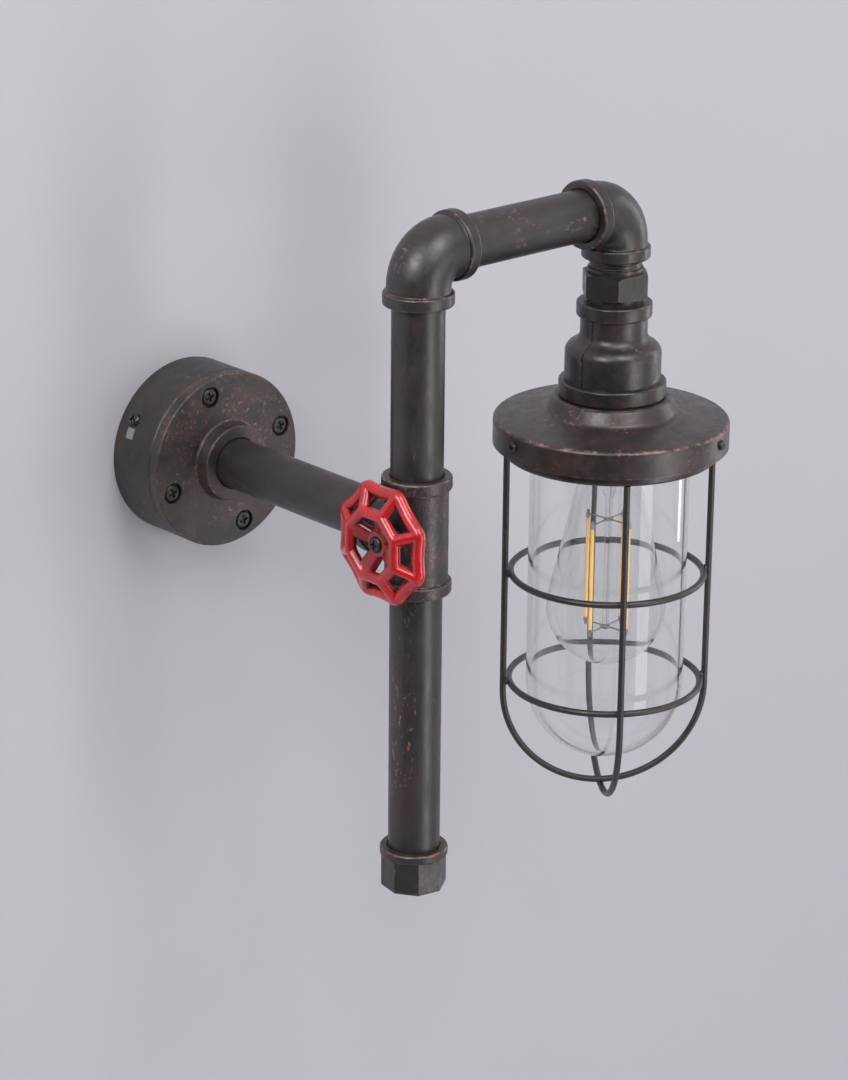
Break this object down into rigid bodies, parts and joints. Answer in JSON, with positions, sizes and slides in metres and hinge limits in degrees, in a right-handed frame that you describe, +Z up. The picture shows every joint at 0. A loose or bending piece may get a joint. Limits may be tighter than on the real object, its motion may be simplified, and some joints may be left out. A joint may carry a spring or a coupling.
{
  "type": "industrial pipe wall light",
  "caption": "Wall light of threaded pipe and cast fittings: round canopy, upright with a red handwheel, and a caged glass jar lamp hung from a bell reducer.",
  "frame": {"origin": "centre of the canopy's back face, on the wall", "axes": "+Z up, +X along the wall towards the lamp, +Y into the wall, so the light reaches into the room along -Y"},
  "size_m": [0.2463, 0.2501, 0.358],
  "materials": {
    "dark_pipe": "dark grey-bronze lacquer, semi-matte",
    "dark_casting": "dark lacquered casting, rubbed to copper on its edges",
    "dark_sheet": "dark grey-bronze lacquer, semi-matte",
    "brown_sheet": "brown-bronze lacquer with copper edges",
    "dark_wire": "dark lacquered wire",
    "zinc_plate": "zinc-plated steel",
    "dark_screw": "blackened steel screw",
    "bright_screw": "plated steel",
    "brass": "plain brass",
    "white_moulding": "moulded terminal block",
    "black_rubber": "rubber grommet",
    "gasket_rubber": "flat rubber ring",
    "lead_sleeve": "black sleeved lead",
    "porcelain": "glazed porcelain",
    "bulb_glass": "clear glass",
    "stem_glass": "clear glass",
    "cap_metal": "pressed metal",
    "cap_glass": "dark insulating glass",
    "solder": "solder",
    "jar_glass": "clear pressed glass",
    "red_enamel": "glossy red enamel on a casting",
    "filament": "coated filament strip",
    "support_wire": "thin wire"
  },
  "bodies": {
    "fixture": {"arm_pipe": "dark_pipe", "upper_pipe": "dark_pipe", "lower_pipe": "dark_pipe", "cross_pipe": "dark_pipe", "floor_flange": "dark_casting", "pipe_tee": "dark_casting", "left_elbow": "dark_casting", "right_elbow": "dark_casting", "hexagon_nipple": "dark_casting", "bell_reducer": "dark_casting", "end_cap": "dark_casting", "canopy_drum": "dark_sheet", "shade_cap": "brown_sheet", "wall_plate": "zinc_plate", "shade_retainer": "zinc_plate", "flange_nut_1": "zinc_plate", "flange_nut_2": "zinc_plate", "flange_nut_3": "zinc_plate", "flange_nut_4": "zinc_plate", "flange_screw_1": "dark_screw", "flange_screw_2": "dark_screw", "flange_screw_3": "dark_screw", "flange_screw_4": "dark_screw", "canopy_side_screw_1": "dark_screw", "canopy_side_screw_2": "dark_screw", "shade_screw_1": "dark_screw", "shade_screw_2": "dark_screw", "shade_screw_3": "dark_screw", "handwheel_screw": "dark_screw", "holder_screw_1": "bright_screw", "holder_screw_2": "bright_screw", "handwheel_washer": "bright_screw", "screw_shell": "brass", "contact_tongue": "brass", "earth_screw": "brass", "terminal_block": "white_moulding", "lead_grommet": "black_rubber", "supply_lead": "lead_sleeve", "holder_body": "porcelain"},
    "handwheel": {"handwheel": "red_enamel"},
    "cage": {"cage_collar": "brown_sheet", "cage_wire_front": "dark_wire", "cage_wire_side": "dark_wire", "cage_ring_upper": "dark_wire", "cage_ring_lower": "dark_wire", "glass_jar": "jar_glass", "jar_gasket": "gasket_rubber"},
    "bulb": {"bulb_glass": "bulb_glass", "bulb_cap": "cap_metal", "bulb_insulator": "cap_glass", "bulb_tip": "solder", "bulb_stem": "stem_glass", "upper_support_wires": "support_wire", "lower_support_wires": "support_wire", "filament_1": "filament", "filament_2": "filament", "filament_3": "filament", "filament_4": "filament"}
  },
  "joints": [
    {"name": "handwheel_spin", "type": "hinge", "parent": "fixture", "child": "handwheel", "pos_m": [-0.0235, -0.188, 0], "axis": [-1, 0, 0], "continuous": true},
    {"name": "cage_slide", "type": "slide", "parent": "fixture", "child": "cage", "axis": [0, 0, -1], "range_m": [0, 0.145]},
    {"name": "bulb_turn", "type": "hinge", "parent": "fixture", "child": "bulb", "pos_m": [0.1365, -0.188, 0.02], "axis": [0, 0, -1], "range_deg": [0, 1260]}
  ]
}
